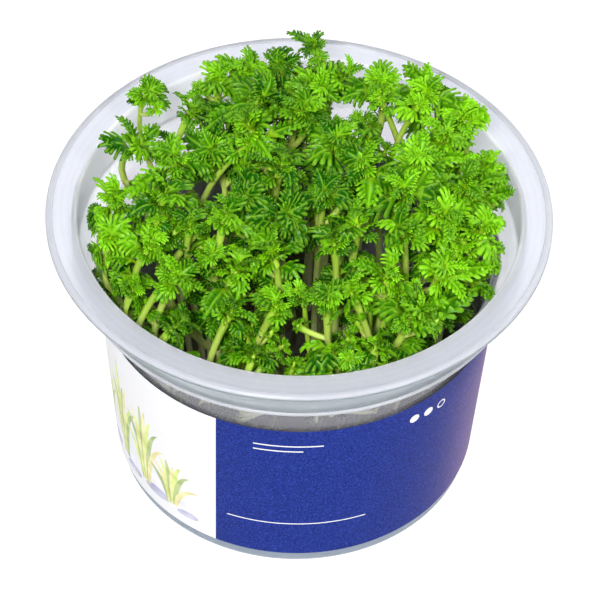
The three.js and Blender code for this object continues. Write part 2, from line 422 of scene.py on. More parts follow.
def frosted_plastic(name, clearness, pale, deep):
    """Milky polypropylene of the collar, the flange and the base, with faint mould rings."""
    finish = Finish(name, {
        "IOR": 1.2, "Transmission Weight": clearness, "Coat Weight": 0.1, "Coat Roughness": 0.35,
        "Subsurface Weight": 1, "Subsurface Scale": 0.004, "Subsurface Radius": (1, 1, 1),
    })
    color = finish.mix(finish.noise(90, detail=2), deep, pale)
    shadow = [channel * 0.86 for channel in deep]
    finish.link(finish.mix(finish.span(finish.rings(220), 0, 0.3), color, shadow))
    finish.roughen(300, 0.40, 0.50)
    return finish.material


def clear_plastic():
    """The clearer plastic of the wall below the collar, a little milky at a slant."""
    finish = Finish("clear_plastic", {
        "IOR": 1.16, "Transmission Weight": 0.89, "Coat Weight": 0.5, "Coat Roughness": 0.08,
        "Sheen Weight": 0.6, "Sheen Roughness": 0.25,
    })
    finish.link(finish.mix(finish.noise(160, detail=2), (0.82, 0.81, 0.92), (0.91, 0.90, 0.97)))
    finish.roughen(300, 0.0, 0.03)
    finish.bump(finish.noise(300, detail=2), 0.000006)
    return finish.material


def edge_plastic():
    """The plastic of the lip and the bead: less clear where it is thick, and whiter than the rest as a
    painted highlight for their bright lines.
    """
    finish = Finish("edge_plastic", {
        "IOR": 1.3, "Transmission Weight": 0.25, "Coat Weight": 0.15, "Coat Roughness": 0.3,
        "Subsurface Weight": 1, "Subsurface Scale": 0.003, "Subsurface Radius": (1, 1, 1),
    })
    finish.link(finish.mix(finish.noise(120), (0.40, 0.41, 0.455), (0.46, 0.465, 0.50)))
    finish.roughen(700, 0.3, 0.45)
    finish.bump(finish.noise(2000, detail=2), 0.00002)
    return finish.material


def blue_print():
    """Dark blue ink on satin paper, with the fine grain of the print and a purple sheen at a slant."""
    finish = Finish("blue_print", {
        "Specular IOR Level": 0.08, "Roughness": 0.5, "Sheen Weight": 0.36, "Sheen Roughness": 0.24,
        "Sheen Tint": (1, 0.58, 0.76, 1),
    })
    grain = finish.noise(3000, detail=4, roughness=0.8)
    finish.link(finish.ramp(grain, [
        (0.38, (0.001, 0.008, 0.095)), (0.5, (0.003, 0.016, 0.165)), (0.63, (0.024, 0.055, 0.33)),
    ]))
    finish.roughen(900, 0.42, 0.6)
    finish.bump(grain, 0.00002)
    return finish.material


def white_paper():
    finish = Finish("white_paper", PAPER_SHEEN)
    finish.link(finish.mix(finish.noise(1500), (0.66, 0.66, 0.68), (0.71, 0.71, 0.725)))
    finish.bump(finish.noise(2500, detail=2), 0.00001)
    return finish.material


def wash_ink(name, pale, deep):
    """Ink of the picture panel, laid on unevenly as in a watercolour."""
    finish = Finish(name, PAPER_SHEEN)
    finish.link(finish.ramp(finish.noise(260), [(0.34, deep), (0.62, pale)]))
    return finish.material


def gel_material():
    finish = Finish("nutrient_gel", {
        "Roughness": 0.12, "IOR": 1.34, "Subsurface Weight": 0.4, "Subsurface Scale": 0.004,
        "Coat Weight": 0.3,
    })
    # Near black: painted shade for the dark depths of the cup.
    finish.link(finish.mix(finish.noise(120), (0.05, 0.05, 0.02), (0.11, 0.105, 0.05)))
    finish.bump(finish.noise(200), 0.0002, 0.5)
    return finish.material


def leaf_material():
    """Leaf green: yellow-green by the stalk and on the ribs, with painted shade in the furrows, paler below.
    """
    finish = Finish("leaf", {
        "IOR": 1.38, "Specular IOR Level": 0.35, "Specular Tint": (0.72, 1, 0.5, 1),
        "Subsurface Weight": 0.1, "Subsurface Scale": 0.0005, "Subsurface Radius": (0.5, 1.0, 0.08),
    })
    along, rib = finish.attribute("along"), finish.attribute("rib")
    dark = finish.ramp(along, [
        (0.0, (0.26, 0.48, 0.006)), (0.38, (0.005, 0.080, 0.0003)), (1.0, (0.003, 0.058, 0.0003)),
    ])
    bright = finish.ramp(along, [
        (0.0, (0.64, 0.76, 0.010)), (0.36, (0.21, 0.56, 0.004)), (1.0, (0.20, 0.57, 0.004)),
    ])
    color = finish.mix(finish.attribute("tone"), dark, bright)
    # Painted shade: the furrows between the lobes are darkened.
    furrow_shade_mask = finish.node("ShaderNodeMath", {0: rib, 1: -1}, operation="MULTIPLY").outputs[0]
    color = finish.mix(finish.span(furrow_shade_mask, 0, 0.5), color, (0.003, 0.05, 0.0003))
    color = finish.mix(finish.span(rib, 0, 0.45), color, (0.38, 0.66, 0.03))
    color = finish.mix(finish.span(finish.attribute("under"), 0, 0.35), color, (0.24, 0.46, 0.06))
    finish.link(finish.mix(finish.span(finish.noise(1100), 0, 0.36), color, (0.02, 0.14, 0.002)))
    finish.roughen(1600, 0.28, 0.44)
    finish.bump(finish.noise(2400, detail=2), 0.00008, 0.7)
    return finish.material


def stem_material():
    """Pale yellow-green stem, whiter low down and a clear yellow-green under the crown."""
    finish = Finish("stem", {
        "Roughness": 0.4, "IOR": 1.4, "Subsurface Weight": 0.3, "Subsurface Scale": 0.0008,
        "Subsurface Radius": (0.8, 1.0, 0.2),
    })
    color = finish.ramp(finish.attribute("along"), [
        (0.0, (0.80, 0.80, 0.50)), (0.4, (0.50, 0.57, 0.22)), (0.82, (0.42, 0.54, 0.10)),
        (1.0, (0.25, 0.47, 0.02)),
    ])
    finish.link(finish.mix(finish.span(finish.noise(500), 0, 0.3), color, (0.34, 0.52, 0.02)))
    finish.bump(finish.noise(1200), 0.0001, 0.6)
    return finish.material


def root_material():
    finish = Finish("root", {"Roughness": 0.45, "Subsurface Weight": 0.2, "Subsurface Scale": 0.0005})
    finish.link(finish.mix(finish.noise(500), (0.44, 0.47, 0.22), (0.62, 0.63, 0.38)))
    return finish.material


# Meshes


def add_piece(name, points, faces, materials, node, indices=None, smooth_deg=40):
    """A piece from points in millimetres, which replaces a solid and takes the finish of a slot."""
    mesh = bpy.data.meshes.new(name)
    mesh.from_pydata(np.asarray(points) * MM, [], faces)
    for material in materials:
        mesh.materials.append(material)
    if indices is not None:
        mesh.polygons.foreach_set("material_index", np.asarray(indices, dtype=np.int32))
    mesh.polygons.foreach_set("use_smooth", np.ones(len(mesh.polygons), dtype=bool))
    mesh.set_sharp_from_angle(angle=math.radians(smooth_deg))
    mesh.update()
    piece = bpy.data.objects.new(name, mesh)
    bpy.context.scene.collection.objects.link(piece)
    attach(piece, "root")
    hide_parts(node)
    return piece


def corner_arc(before, corner, after, rounding, steps=5):
    """Points of the arc that rounds a corner of an outline."""
    to_before, to_after = unit(before - corner), unit(after - corner)
    half = math.acos(np.clip(to_before @ to_after, -1, 1)) / 2
    middle = corner + unit(to_before + to_after) * rounding / math.sin(half)
    first = corner + to_before * rounding / math.tan(half) - middle
    last = corner + to_after * rounding / math.tan(half) - middle
    start, end = math.atan2(first[1], first[0]), math.atan2(last[1], last[0])
    turn = (end - start + math.pi) % (2 * math.pi) - math.pi
    angles = start + turn * np.arange(steps + 1) / steps
    return [middle + rounding * np.array([math.cos(a), math.sin(a)]) for a in angles]


def rounded_profile(corners):
    """A profile through corners of radius, height, rounding, finish, and the next finish if it differs."""
    places = [np.array(corner[:2], dtype=float) for corner in corners]
    profile, finishes = [places[0]], [corners[0][3]]
    for i in range(1, len(corners)):
        rounding, at_corner, *_ = corners[i][2:]
        after = corners[i][-1]
        arc = [places[i]]
        if rounding:
            arc = corner_arc(places[i - 1], places[i], places[i + 1], rounding)
        stretch = profile[-1].copy()
        parts = math.ceil(np.linalg.norm(arc[0] - stretch) / LONGEST_STRETCH)
        for k in range(1, parts):
            profile.append(lerp(stretch, arc[0], k / parts))
            finishes.append(finishes[-1])
        profile += arc
        finishes += [at_corner] * (len(arc) - 1) + [after]
    return profile, finishes[:-1]


def turned(profile, around=AROUND):
    """Points and faces of a profile turned about the axis, which it starts and ends on, ring by ring."""
    angles = np.arange(around) * 2 * math.pi / around
    points = [(0, 0, profile[0][1])]
    for radius, z in profile[1:-1]:
        points += [(radius * math.sin(a), -radius * math.cos(a), z) for a in angles]
    points.append((0, 0, profile[-1][1]))
    first, last = 0, len(points) - 1
    following = [(i + 1) % around for i in range(around)]
    faces = [(first, 1 + following[i], 1 + i) for i in range(around)]
    for ring in range(len(profile) - 3):
        low = 1 + ring * around
        high = low + around
        faces += [(low + i, low + following[i], high + following[i], high + i) for i in range(around)]
    low = last - around
    faces += [(low + i, low + following[i], last) for i in range(around)]
    return points, faces


def add_cup():
    """The cup: flat base, tapered wall, shoulder with a bead, collar, and flange with a raised lip."""
    under_flange = CUP_HEIGHT - FLANGE_THICKNESS
    flange_top = CUP_HEIGHT - LIP_STEP
    bead_radius = COLLAR_RADIUS + BEAD_STANDS_OUT
    bead_top = SHOULDER_HEIGHT + BEAD_HEIGHT
    shoulder_inside = SHOULDER_HEIGHT + SHOULDER_THICKNESS
    lip_inside = FLANGE_RADIUS - LIP_WIDTH
    corners = [
        # The base and the heel take a darker copy of the plastic: painted shade at the cup's foot.
        (0, 0, 0, "base"),
        (BASE_RADIUS, 0, HEEL_ROUNDING, "base"),
        (wall_radius(LABEL_BOTTOM), LABEL_BOTTOM, 0, "clear"),
        (SHOULDER_RADIUS, SHOULDER_HEIGHT, BEND_ROUNDING, "clear", "outside"),
        (bead_radius, SHOULDER_HEIGHT, BEAD_ROUNDING, "edge"),
        (bead_radius, bead_top, BEAD_ROUNDING, "edge"),
        (COLLAR_RADIUS, bead_top, 0, "outside"),
        (COLLAR_RADIUS, under_flange, LIP_ROUNDING, "outside"),
        # The foot of the rim takes a dark copy of the plastic: painted shade, the dark line under the lip.
        (FLANGE_RADIUS, under_flange, RIM_FOOT_ROUNDING, "shade"),
        (FLANGE_RADIUS, under_flange + RIM_SHADE, 0, "edge"),
        (FLANGE_RADIUS, CUP_HEIGHT, LIP_ROUNDING, "edge"),
        (lip_inside, CUP_HEIGHT, LIP_STEP / 2, "edge"),
        (lip_inside - LIP_STEP, flange_top, LIP_STEP / 2, "frosted"),
        # The mouth and the inside of the collar take a lighter copy of the plastic: painted light, for the
        # light that comes through the wall.
        (MOUTH_RADIUS, flange_top, MOUTH_ROUNDING, "inside"),
        (MOUTH_RADIUS, shoulder_inside, BEND_ROUNDING, "inside"),
        (SHOULDER_RADIUS - WALL_THICKNESS, shoulder_inside, BEND_ROUNDING, "clear"),
        (wall_radius(FLOOR_THICKNESS) - WALL_THICKNESS, FLOOR_THICKNESS, FLOOR_FILLET, "clear"),
        (0, FLOOR_THICKNESS, 0, "clear"),
    ]
    profile, finishes = rounded_profile(corners)
    points, faces = turned(profile)
    plastics = {
        "frosted": frosted_plastic("flange_plastic", 0.72, (0.81, 0.795, 0.88), (0.76, 0.75, 0.845)),
        "outside": frosted_plastic("collar_outside", 0.8, (0.70, 0.76, 0.83), (0.63, 0.70, 0.78)),
        "base": frosted_plastic("base_painted_shade", 0.3, (0.265, 0.31, 0.375), (0.22, 0.265, 0.33)),
        "shade": frosted_plastic("rim_painted_shade", 0.3, (0.22, 0.26, 0.28), (0.18, 0.21, 0.23)),
        "inside": frosted_plastic("collar_inside_painted_light", 0.6, (0.97, 0.96, 0.99), (0.95, 0.94, 0.98)),
        "clear": clear_plastic(),
        "edge": edge_plastic(),
    }
    indices = np.repeat([list(plastics).index(finish) for finish in finishes], AROUND)
    return add_piece("cup_body", points, faces, list(plastics.values()), "cup", indices)


def add_gel():
    """The set gel, with a low meniscus up the wall."""
    bottom = FLOOR_THICKNESS + TOUCH_GAP
    edge, bottom_edge = (wall_radius(z) - WALL_THICKNESS - TOUCH_GAP for z in (GEL_TOP, bottom))
    middle_height = GEL_TOP - GEL_HOLLOW
    profile, _ = rounded_profile([
        (0, bottom, 0, "gel"), (bottom_edge, bottom, FLOOR_FILLET, "gel"), (edge, GEL_TOP, 0, "gel"),
        (edge - 4 * GEL_HOLLOW, middle_height, 3 * GEL_HOLLOW, "gel"), (0, middle_height, 0, "gel"),
    ])
    points, faces = turned(profile, AROUND // 2)
    return add_piece("nutrient_gel", points, faces, [gel_material()], "growing_gel")


# The label: a strip of paper round the wall, unrolled to lengths round it from the front and heights


def inside_polygon(points, polygon):
    """Which of the points are inside a polygon, by counting the edges crossed to one side."""
    x, y = points[:, 0], points[:, 1]
    inside = np.zeros(len(points), dtype=bool)
    for (x0, y0), (x1, y1) in zip(polygon, np.roll(polygon, -1, axis=0)):
        crosses = (y0 > y) != (y1 > y)
        if y0 != y1:
            inside ^= crosses & (x < (x1 - x0) * (y - y0) / (y1 - y0) + x0)
    return inside


def ribbon_leaf(foot, height, lean):
    """Outline of a blade that rises from its foot, leans over and ends in a point."""
    share = np.linspace(0, 1, 13)
    rise = np.sin(share * math.pi * 0.46)
    middle = np.stack([foot[0] + lean * share**1.7, foot[1] + height * rise], axis=1)
    along = unit(np.gradient(middle, axis=0))
    half = (BLADE_WIDTH / 2) * np.sin(math.pi * np.clip(0.22 + 0.78 * share, 0, 1)) ** 0.8
    across = np.stack([-along[:, 1], along[:, 0]], axis=1) * half[:, None]
    return np.concatenate([middle + across, (middle - across)[::-1][1:]])


def pebble(middle, width, height, lean):
    """Outline of a rounded stone with a flatter foot."""
    angles = np.linspace(0, 2 * math.pi, 22, endpoint=False)
    up = np.sin(angles) * np.where(np.sin(angles) < 0, 0.55, 1)
    return np.stack([middle[0] + width / 2 * np.cos(angles) + lean * up, middle[1] + height / 2 * up], axis=1)


def disc(middle, radius):
    angles = np.linspace(0, 2 * math.pi, 24, endpoint=False)
    return np.stack([middle[0] + radius * np.cos(angles), middle[1] + radius * np.sin(angles)], axis=1)


def panel_print(left):
    """The printed shapes on the white panel, from its left edge."""
    shapes = []
    for x, z, width, height in PEBBLES:
        shapes.append(("mist_ink", pebble((left + x, z + 1.6), width + 2.5, height + 1.5, 0.8)))
    for x, z, width, height in PEBBLES:
        shapes.append(("violet_ink", pebble((left + x + 0.6, z), width * 0.72, height * 0.62, 0.6)))
    for number, (x, z, height, blades) in enumerate(TUFTS):
        for i in range(blades):
            side = lerp(-1, 1, i / (blades - 1))
            tall = height * (1 - 0.38 * abs(side)) * (0.85 + 0.3 * vary(number, 30 + i))
            ink = BLADE_INKS[(i + number) % len(BLADE_INKS)]
            shapes.append((ink, ribbon_leaf((left + x + 1.1 * side, z), tall, BLADE_LEAN * side)))
    for x, z, radius in BUBBLES:
        shapes.append(("mist_ink", disc((left + x, z), radius)))
        shapes.append(("white_paper", disc((left + x - 0.2, z + 0.2), radius * 0.62)))
    return shapes


def label_print():
    """The printed shapes, in millimetres round the wall and up it, the later ones on top."""
    scale = math.radians(1) * wall_radius((LABEL_BOTTOM + LABEL_TOP) / 2)
    top_edge = PANEL_RIGHT_TOP_DEG * scale
    bottom_edge = PANEL_RIGHT_BOTTOM_DEG * scale
    width = PANEL_WIDTH_DEG * scale
    panel = np.array([(bottom_edge, LABEL_BOTTOM - 1), (top_edge, LABEL_TOP + 1),
                      (top_edge - width, LABEL_TOP + 1), (bottom_edge - width, LABEL_BOTTOM - 1)])
    shapes = [("white_paper", panel)] + panel_print(bottom_edge - width)
    dots = [np.array(DOT) + i * np.array(DOT_STEP) for i in range(3)]
    shapes += [("white_paper", disc(dot, DOT_RADIUS)) for dot in dots]
    shapes.append(("blue_print", disc(dots[-1], RING_HOLE)))
    for start, end, z, thick in RULES:
        shapes.append(("white_paper", np.array([(start, z), (end, z), (end, z + thick), (start, z + thick)])))
    return scale, shapes


def cut_into_print(scale, shapes):
    """The unrolled strip as triangles, and the ink that each one has."""
    start, end = -180 * scale, (180 + LAP_DEG) * scale
    columns = np.arange(-180, 180 + LAP_DEG, LABEL_STEP_DEG)[1:] * scale
    corners = ((start, LABEL_BOTTOM), (end, LABEL_BOTTOM), (end, LABEL_TOP), (start, LABEL_TOP))
    points = [Vector(corner) for corner in corners]
    edges = [(0, 1), (1, 2), (2, 3), (3, 0)]
    for x in columns:
        edges.append((len(points), len(points) + 1))
        points += [Vector((x, LABEL_BOTTOM)), Vector((x, LABEL_TOP))]
    for _, polygon in shapes:
        first = len(points)
        kept = np.clip(polygon, (start, LABEL_BOTTOM), (end, LABEL_TOP))
        points += [Vector(p) for p in kept]
        edges += [(first + i, first + (i + 1) % len(kept)) for i in range(len(kept))]
    flat, _, triangles, *_ = delaunay_2d_cdt(points, edges, [], 0, 1e-4)
    flat = np.array([tuple(p) for p in flat])
    triangles = np.array([tuple(t) for t in triangles])
    middles = flat[triangles].mean(axis=1)
    ink = np.zeros(len(triangles), dtype=int)
    for name, polygon in shapes:
        ink[inside_polygon(middles, polygon)] = INKS.index(name)
    return flat, triangles, ink


def add_label():
    """The sleeve as a wound strip whose ends lap at the back, cut into the printed regions."""
    scale, shapes = label_print()
    flat, triangles, ink = cut_into_print(scale, shapes)
    angle = np.radians(flat[:, 0] / scale)
    lap = np.clip((flat[:, 0] / scale - (180 - LAP_DEG)) / LAP_DEG, 0, 1)
    rise = (LABEL_THICKNESS + LAP_GAP) * (3 * lap**2 - 2 * lap**3)

    def wound(depth):
        radius = wall_radius(flat[:, 1]) + LABEL_GAP + rise + depth
        return np.stack([radius * np.sin(angle), -radius * np.cos(angle), flat[:, 1]], axis=1)

    count = len(flat)
    owner = {side: i for i, t in enumerate(triangles.tolist()) for side in zip(t, t[1:] + t[:1])}
    rim = sorted(rim_edges(triangles)[1])
    faces = [tuple(t) for t in triangles] + [tuple(t[::-1] + count) for t in triangles]
    faces += [(b, a, a + count, b + count) for a, b in rim]
    back = np.full(len(triangles), INKS.index("paper_reverse"))
    # The rim faces along the top are dark as a painted shadow; the others take the ink beside them.
    at_top = [min(flat[a][1], flat[b][1]) > LABEL_TOP - 0.01 for a, b in rim]
    edge = np.where(at_top, INKS.index("painted_shadow_edge"), [ink[owner[side]] for side in rim])
    materials = [blue_print(), white_paper(), *(wash_ink(name, *colors) for name, colors in WASHES.items())]
    points = np.concatenate([wound(LABEL_THICKNESS), wound(0)])
    indices = np.concatenate([ink, back, edge])
    return add_piece("paper_label", points, faces, materials, "label", indices)


# One leaf


def direction(angle, side):
    """Unit vector at an angle from the leaf's midrib, on one side of it."""
    return np.array([math.cos(angle), side * math.sin(angle)])


def plan_lobe(rng, kind, share):
    """One lobe, at a share of the way from the lowest to the highest."""
    return {
        "root": lerp(kind["stalk"], kind["last"], share) + rng.uniform(-0.012, 0.012),
        "angle": math.radians(lerp(kind["low"], kind["high"], share) + rng.uniform(-4, 4)),
        "length": kind["reach"] * math.sin(math.pi * lerp(0.34, 0.78, share)) * rng.uniform(0.86, 1.12),
        "half_width": kind["half_width"] * rng.uniform(0.88, 1.12),
    }


def lobe_outline(lobe, side):
    """One edge, the round tip and the other edge of a lobe, from the leaf's base to its tip."""
    along = direction(lobe["angle"], side)
    across = direction(lobe["angle"] + math.pi / 2, side)
    root = np.array([lobe["root"], 0.0])
    waist = root + 0.66 * lobe["length"] * along
    center = root + (lobe["length"] - lobe["half_width"]) * along
    turns = np.radians(np.linspace(12, 168, TIP_POINTS))
    tip = [center + lobe["half_width"] * (math.cos(turn) * across + math.sin(turn) * along) for turn in turns]
    return [waist + 0.95 * lobe["half_width"] * across, *tip, waist - 0.95 * lobe["half_width"] * across]


def half_leaf(rng, kind, vein_places, side):
    """Outline of one side of a leaf, the places of its veins, and those of the furrows between lobes."""
    stalk, half_width = kind["stalk"], kind["half_width"]
    lobes = [plan_lobe(rng, kind, (j + 0.5) / kind["lobes"]) for j in range(kind["lobes"])]
    roots = [np.array([lobe["root"], 0.0]) for lobe in lobes]
    notches = [root + kind["notch"] * lobe["length"] * direction(lobe["angle"], side)
               for root, lobe in zip(roots, lobes)]
    notches.append(np.array([kind["last"] + 0.2, side * half_width * 0.9]))
    edge = ((0, side * 0.05), (stalk * 0.5, side * 0.036), (stalk, side * 0.05))
    outline = [np.array(place) for place in edge]
    veins, furrows = [], []
    for j, (root, lobe) in enumerate(zip(roots, lobes)):
        outline += lobe_outline(lobe, side)
        outline.append((notches[j] + notches[j + 1]) / 2)
        between_roots = (root + roots[min(j + 1, len(roots) - 1)]) / 2
        furrows += [outline[-1], lerp(between_roots, outline[-1], FURROW_PLACE)]
        for share in (*vein_places, 1 - lobe["half_width"] / lobe["length"]):
            veins.append((root + share * lobe["length"] * direction(lobe["angle"], side), VEIN_RELIEF))
    outline += [np.array([0.93, side * half_width * 1.05]), np.array([0.978, side * half_width * 0.8])]
    return outline, veins, furrows


def leaf_template(rng, kind, vein_places):
    """A lobed leaf of length 1: a stalk that widens to a pleated blade with rounded lobes like fingers.

    Its rib is above 0 on the midrib and the veins, and below 0 in the furrows between the lobes.
    """
    (left, *left_lines), (right, *right_lines) = (half_leaf(rng, kind, vein_places, side) for side in (1, -1))
    veins, furrows = (one + other for one, other in zip(left_lines, right_lines))
    outline = left + [np.array([1.0, 0.0])] + right[::-1]
    inner = [(np.array([s, 0.0]), 1.0) for s in np.arange(0.07, 0.93, 0.1)] + veins
    flat, triangles = fill_outline(outline, [place for place, _ in inner] + furrows[1::2])
    rib, pleat = np.zeros(len(flat)), np.zeros(len(flat))
    for place, value in inner:
        nearest = np.argmin(np.linalg.norm(flat - place, axis=1))
        rib[nearest] = max(rib[nearest], value)
        pleat[nearest] = 1 if value < 1 else MIDRIB_PLEAT
    for place in furrows:
        nearest = np.argmin(np.linalg.norm(flat - place, axis=1))
        pleat[nearest] = rib[nearest] = -1
    return close_template(flat, triangles, rib, pleat)


def rim_edges(triangles):
    """All edges, and those that only one triangle has."""
    edges = {(a, b) for t in triangles for a, b in ((t[0], t[1]), (t[1], t[2]), (t[2], t[0]))}
    return edges, {(a, b) for a, b in edges if (b, a) not in edges}


def fill_outline(outline, inner):
    """Triangles inside an outline, none with an inner edge from rim to rim, which two sides would share."""
    for _ in range(6):
        points = [Vector(p) for p in outline] + [Vector(p) for p in inner]
        flat, _, triangles, *_ = delaunay_2d_cdt(points, [], [list(range(len(outline)))], 1, 1e-5)
        flat = np.array([tuple(p) for p in flat])
        edges, rim = rim_edges(triangles)
        on_rim = {a for a, _ in rim}
        crossing = [(a, b) for a, b in edges - rim if a < b and a in on_rim and b in on_rim]
        if not crossing:
            break
        inner = inner + [(flat[a] + flat[b]) / 2 for a, b in crossing]
    return flat, np.array([tuple(t) for t in triangles])


def close_template(flat, triangles, rib, pleat):
    """Adds the underside, which shares the outline with the upper side."""
    on_rim = np.zeros(len(flat), dtype=bool)
    for a, b in rim_edges(triangles)[1]:
        on_rim[[a, b]] = True
    inner = np.flatnonzero(~on_rim)
    below = np.arange(len(flat))
    below[inner] = len(flat) + np.arange(len(inner))
    return {
        "flat": np.concatenate([flat, flat[inner]]),
        "face": np.concatenate([np.where(on_rim, 0.0, 1.0), -np.ones(len(inner))]),
        "rib": np.concatenate([rib, rib[inner]]),
        "pleat": np.concatenate([pleat, pleat[inner]]),
        "triangles": np.concatenate([triangles, below[triangles][:, ::-1]]),
    }


def arch(leaf, along):
    """How far out and up a leaf's midrib is, and its slope, at shares of its length."""
    steps = np.linspace(0, 1, ARCH_STEPS)
    angle = np.radians(lerp(leaf["start"], leaf["end"], steps ** leaf["late"]))
    middle = (angle[1:] + angle[:-1]) / 2
    stride = leaf["length"] / (ARCH_STEPS - 1)
    reach = np.concatenate([[0], np.cumsum(np.cos(middle))]) * stride
    climb = np.concatenate([[0], np.cumsum(np.sin(middle))]) * stride
    return (np.interp(along, steps, values)[:, None] for values in (reach, climb, angle))


def bend_leaf(template, leaf):
    """Points of one leaf: arched along its length, its sides and lobes drooping, thin at the edges."""
    along, across = template["flat"].T
    length = leaf["length"]
    reach, climb, angle = arch(leaf, along)
    cosine, sine = math.cos(leaf["bearing"]), math.sin(leaf["bearing"])
    out = leaf["axes"] @ np.array([cosine, sine, 0])
    side = leaf["axes"] @ np.array([-sine, cosine, 0])
    up = leaf["axes"][:, 2]
    normal = -np.sin(angle) * out + np.cos(angle) * up
    twist = (leaf["twist"] * along)[:, None]
    turned_side = np.cos(twist) * side + np.sin(twist) * normal
    turned_normal = np.cos(twist) * normal - np.sin(twist) * side
    radius = length * leaf["curl"]
    droop = across * length / radius
    thick = length * lerp(0.05, 0.02, np.clip(along * 2.2, 0, 1))
    face = template["face"]
    rib = np.maximum(template["rib"], 0)
    raised = thick * face * np.where(face > 0, 1 - 0.55 * rib, 1 + 0.35 * rib) / 2
    raised += PLEAT_DEPTH * length * template["pleat"]
    points = leaf["base"] + reach * out + climb * up
    points = points + (radius * np.sin(droop))[:, None] * turned_side
    points = points + (raised - radius * (1 - np.cos(droop)))[:, None] * turned_normal
    return points + (length * leaf["sway"] * along**2)[:, None] * side


# Stems


def curved(start, bend, end, share):
    """Points of a stem that bends once between its ends."""
    return (1 - share) ** 2 * start + 2 * share * (1 - share) * bend + share**2 * end


def bend_through(start, low, end):
    """Bend of a stem from start to end, so that it passes through a low point at that point's height."""
    share = (low[2] - start[2]) / (end[2] - start[2])
    return (low - (1 - share) ** 2 * start - share**2 * end) / (2 * share * (1 - share))


def stem_at(curve, share):
    """Points of a shoot's stem: bent from its foot to its tip as in the solid, and bowed near the top."""
    share = np.asarray(share, dtype=float)[..., None]
    bow = curve["bow"] * np.sin(math.pi * np.clip((share - BOW_START) / (1 - BOW_START), 0, 1))
    return curved(curve["foot"], curve["bend"], curve["tip"], share) + bow


def necked(share, swelling, place, width, taper, taper_start):
    """How thick a stem is along its length: swollen below its crown, and tapered into it."""
    swollen = swelling * np.exp(-(((share - place) / width) ** 2))
    return 1 + swollen - taper * np.clip((share - taper_start) / (1 - taper_start), 0, 1)


def leaning_axes(toward, rng):
    """Axes of a crown whose middle one leans towards a direction, and a little at random."""
    toward = unit(toward) + np.append(rng.normal(0, math.tan(math.radians(EXTRA_LEAN_DEG)), 2), 0)
    return np.array(Vector((0, 0, 1)).rotation_difference(Vector(toward)).to_matrix())


def tube(path, radii, sides):
    """A closed tube along a path, with a low cap of one point at each end."""
    along = unit(np.gradient(path, axis=0))
    reference = np.array([1.0, 0.0, 0.0]) if abs(along[0][0]) < 0.8 else np.array([0.0, 1.0, 0.0])
    first = unit(np.cross(along, reference))
    second = np.cross(along, first)
    angles = np.arange(sides) * 2 * math.pi / sides
    ring = np.cos(angles)[None, :, None] * first[:, None] + np.sin(angles)[None, :, None] * second[:, None]
    points = (path[:, None] + ring * radii[:, None, None]).reshape(-1, 3)
    caps = [path[0] - along[0] * radii[0] * 0.5, path[-1] + along[-1] * radii[-1] * 0.5]
    faces = []
    for k in range(len(path) - 1):
        for i in range(sides):
            j = (i + 1) % sides
            a, b, c, d = k * sides + i, k * sides + j, (k + 1) * sides + j, (k + 1) * sides + i
            faces += [(a, b, c), (a, c, d)]
    start, end, last = len(points), len(points) + 1, (len(path) - 1) * sides
    for i in range(sides):
        j = (i + 1) % sides
        faces += [(start, j, i), (end, last + i, last + j)]
    return np.concatenate([points, caps]), np.array(faces)


# The plants

LEAF, STEM, ROOT = range(3)


class Growth:
    """The points, triangles and attributes of one shoot, gathered part by part."""

    def __init__(self, rng, templates, tone):
        self.rng, self.templates, self.tone = rng, templates, tone
        self.points, self.triangles, self.values, self.kinds = [], [], [], []
        self.count = 0

    def add(self, points, triangles, kind, along, rib=0.0, tone=0.5, under=0.0):
        ones = np.ones(len(points))
        self.points.append(points)
        self.triangles.append(np.asarray(triangles) + self.count)
        self.values.append(np.stack([along * ones, rib * ones, tone * ones, under * ones]))
        self.kinds.append(np.full(len(triangles), kind))
        self.count += len(points)

    def add_tube(self, path, radii, sides, kind, along):
        points, triangles = tube(path, radii, sides)
        along = np.concatenate([np.repeat(along, sides), along[[0, -1]]])
        self.add(keep_in_cup(points), triangles, kind, along)

    def add_leaf(self, leaf, kept=False):
        """A leaf with traits of its own. Its shade, how much darker it is than the shoot, is partly age and
        partly painted shade.

        A leaf that would hide a stem in the open is left out, unless it is kept for the crown.
        """
        choices = self.templates[leaf["kind"]]
        template = choices[self.rng.integers(len(choices))]
        for trait, limits in LEAF_TRAITS.items():
            leaf[trait] = self.rng.uniform(*limits)
        tone = np.clip(self.tone - leaf["shade"] + self.rng.uniform(*LEAF_TONE_RANGE), 0, 1)
        under = (template["face"] < 0).astype(float)
        points = keep_in_cup(bend_leaf(template, leaf))
        if kept or not hides_open_stem(points):
            along, rib = template["flat"][:, 0], template["rib"]
            self.add(points, template["triangles"], LEAF, along, rib, tone, under)

    def add_crown(self, middle, axes, reach, count, kept=True):
        for leaf in rosette(self.rng, middle, axes, reach, count):
            self.add_leaf(leaf, kept)


def keep_in_cup(points):
    """Keeps points off the wall, lays what hangs over the rim on the flange, and bends far ones in."""
    radius = np.hypot(points[:, 0], points[:, 1])
    low = points[:, 2] < CUP_HEIGHT + RIM_CLEARANCE
    limit = inner_radius(points[:, 2]) - WALL_CLEARANCE
    if points[:, 2].max() > CUP_HEIGHT + OVERHANG_RISE and np.median(radius) > MOUTH_RADIUS - OVERHANG_WIDTH:
        outside = low & (radius > MOUTH_RADIUS - WALL_CLEARANCE)
        above_lowest = points[outside, 2] - points[:, 2].min()
        points[outside, 2] = CUP_HEIGHT + RIM_CLEARANCE + LAID_THICKNESS * above_lowest
    else:
        outside = low & (radius > limit)
        points[outside, :2] *= (limit[outside] / radius[outside])[:, None]
    radius = np.hypot(points[:, 0], points[:, 1])
    bent = LEAVES_BEND_IN + BEND_IN_BY * np.tanh((radius - LEAVES_BEND_IN) / (2 * BEND_IN_BY))
    points[:, :2] *= np.where(radius > LEAVES_BEND_IN, bent / radius, 1)[:, None]
    return points


def open_stretch(stem):
    """Start and end of the stretch of a stem that stands in the open."""
    crown, lean, rise = stem
    end = np.array(crown, dtype=float)
    return end - (lean, 0, rise), end


